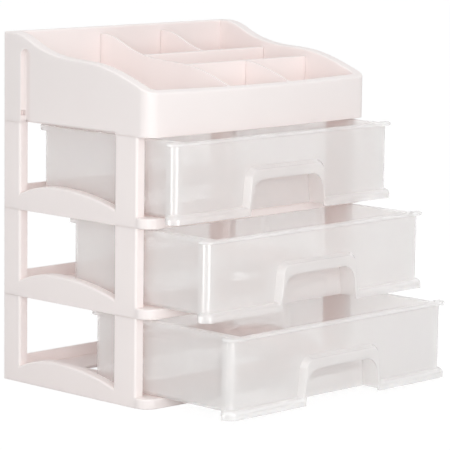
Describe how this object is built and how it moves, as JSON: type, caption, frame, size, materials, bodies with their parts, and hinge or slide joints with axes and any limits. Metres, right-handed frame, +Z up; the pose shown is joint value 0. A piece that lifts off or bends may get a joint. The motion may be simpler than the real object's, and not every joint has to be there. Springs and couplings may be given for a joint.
{
  "type": "makeup box",
  "caption": "Desk-top makeup box: stacked open-sided tiers with translucent pull-out drawers with arched finger pulls, under a divided tray with sloping sides.",
  "frame": {"origin": "middle of the box's underside, halfway across its width and halfway between the rear face and the front corners of its lowest shelf", "axes": "+X to the right seen from the front, +Y to the rear, +Z up"},
  "size_m": [0.2428, 0.2486, 0.2712],
  "materials": {
    "pink_plastic": "satin, pale pink, opaque",
    "frosted_plastic": "frosted, translucent, near colourless"
  },
  "bodies": {
    "frame": {"shelf_bottom": "pink_plastic", "side_left_bottom": "pink_plastic", "side_right_bottom": "pink_plastic", "shelf_middle": "pink_plastic", "side_left_middle": "pink_plastic", "side_right_middle": "pink_plastic", "shelf_top": "pink_plastic", "side_left_top": "pink_plastic", "side_right_top": "pink_plastic", "tray": "pink_plastic", "divider_long": "pink_plastic", "divider_cross_rear": "pink_plastic", "divider_cross_front": "pink_plastic", "divider_rear": "pink_plastic", "divider_front": "pink_plastic"},
    "bottom_drawer": {"drawer_bottom": "frosted_plastic"},
    "middle_drawer": {"drawer_middle": "frosted_plastic"},
    "top_drawer": {"drawer_top": "frosted_plastic"}
  },
  "joints": [
    {"name": "drawer_bottom_slide", "type": "slide", "parent": "frame", "child": "bottom_drawer", "axis": [0, -1, 0], "range_m": [-0.082, 0.03]},
    {"name": "drawer_middle_slide", "type": "slide", "parent": "frame", "child": "middle_drawer", "axis": [0, -1, 0], "range_m": [-0.057, 0.055]},
    {"name": "drawer_top_slide", "type": "slide", "parent": "frame", "child": "top_drawer", "axis": [0, -1, 0], "range_m": [-0.023, 0.089]}
  ]
}
